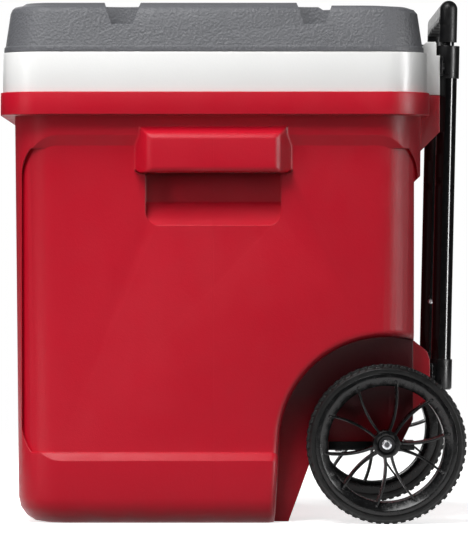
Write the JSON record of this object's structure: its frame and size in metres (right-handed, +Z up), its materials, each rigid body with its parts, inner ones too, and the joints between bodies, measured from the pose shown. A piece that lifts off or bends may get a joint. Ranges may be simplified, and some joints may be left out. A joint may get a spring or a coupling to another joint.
{
  "type": "cooler on wheels",
  "caption": "Insulated picnic cooler with a hinged lid and cup holders, two wheels on an axle, moulded side lift grips and a telescoping tow handle.",
  "frame": {"origin": "centre of the box around the whole object, on the floor it stands on", "axes": "+Z up, -Y towards the front, +Y towards the wheels and tow handle, X along the axle across the width"},
  "size_m": [0.52, 0.468, 0.5299],
  "materials": {
    "shell_red": "satin",
    "foam": "matte",
    "liner_white": "satin",
    "drain_white": "satin",
    "seal_rubber": "matte",
    "lid_grey": "matte",
    "pin_steel": "satin",
    "axle_steel": "satin",
    "screw_steel": "satin",
    "clip_black": "satin",
    "fitting_black": "satin",
    "wheel_black": "satin",
    "tread_black": "matte",
    "tube_black": "gloss",
    "grip_black": "satin",
    "button_black": "satin"
  },
  "bodies": {
    "tub": {"outer_shell": "shell_red", "foam_core": "foam", "inner_liner": "liner_white", "drain_body": "drain_white", "drain_gasket": "seal_rubber", "drain_nut": "drain_white", "hinge_pins": "pin_steel", "axle": "axle_steel", "axle_bracket_left": "fitting_black", "axle_bracket_right": "fitting_black", "bracket_screws": "screw_steel", "axle_washers": "screw_steel", "axle_clips": "clip_black", "outer_tube_left": "tube_black", "outer_tube_right": "tube_black", "tube_collar_left": "fitting_black", "tube_collar_right": "fitting_black", "tube_socket_left": "fitting_black", "tube_socket_right": "fitting_black", "collar_screws": "screw_steel", "socket_screws": "screw_steel", "tube_rivets": "screw_steel"},
    "lid": {"lid_top": "lid_grey", "lid_foam": "foam", "lid_liner": "liner_white"},
    "wheel_left": {"wheel_left": "wheel_black", "tyre_left": "tread_black"},
    "wheel_right": {"wheel_right": "wheel_black", "tyre_right": "tread_black"},
    "middle_stage": {"middle_tube_left": "tube_black", "middle_tube_right": "tube_black", "middle_bushes": "fitting_black", "middle_guides": "fitting_black"},
    "inner_stage": {"inner_tube_left": "tube_black", "inner_tube_right": "tube_black", "inner_guides": "fitting_black", "lock_pins": "pin_steel", "grip_top": "grip_black", "grip_cover": "grip_black", "grip_sleeves": "grip_black", "button_springs": "pin_steel"},
    "button": {"release_button": "button_black", "release_yoke": "fitting_black", "release_rods": "pin_steel"},
    "drain_plug": {"drain_plug": "drain_white"}
  },
  "joints": [
    {"name": "lid_hinge", "type": "hinge", "parent": "tub", "child": "lid", "pos_m": [0, 0.1995, 0.48], "axis": [-1, 0, 0], "range_deg": [0, 60]},
    {"name": "wheel_left_spin", "type": "hinge", "parent": "tub", "child": "wheel_left", "pos_m": [-0.228, 0.154, 0.08], "axis": [1, 0, 0], "continuous": true},
    {"name": "wheel_right_spin", "type": "hinge", "parent": "tub", "child": "wheel_right", "pos_m": [0.228, 0.154, 0.08], "axis": [1, 0, 0], "continuous": true},
    {"name": "tow_lower_slide", "type": "slide", "parent": "tub", "child": "middle_stage", "axis": [0, 0.0223, 0.9998], "range_m": [0, 0.24]},
    {"name": "tow_upper_slide", "type": "slide", "parent": "middle_stage", "child": "inner_stage", "axis": [0, 0.0223, 0.9998], "range_m": [0, 0.24]},
    {"name": "release_press", "type": "slide", "parent": "inner_stage", "child": "button", "axis": [0, -0.0223, -0.9998], "range_m": [0, 0.0035], "stiffness_N_per_m": 1500, "springref_m": -0.0025, "deforming": ["button_springs"]},
    {"name": "drain_pull", "type": "slide", "parent": "tub", "child": "drain_plug", "axis": [-1, 0, 0], "range_m": [0, 0.03]}
  ]
}
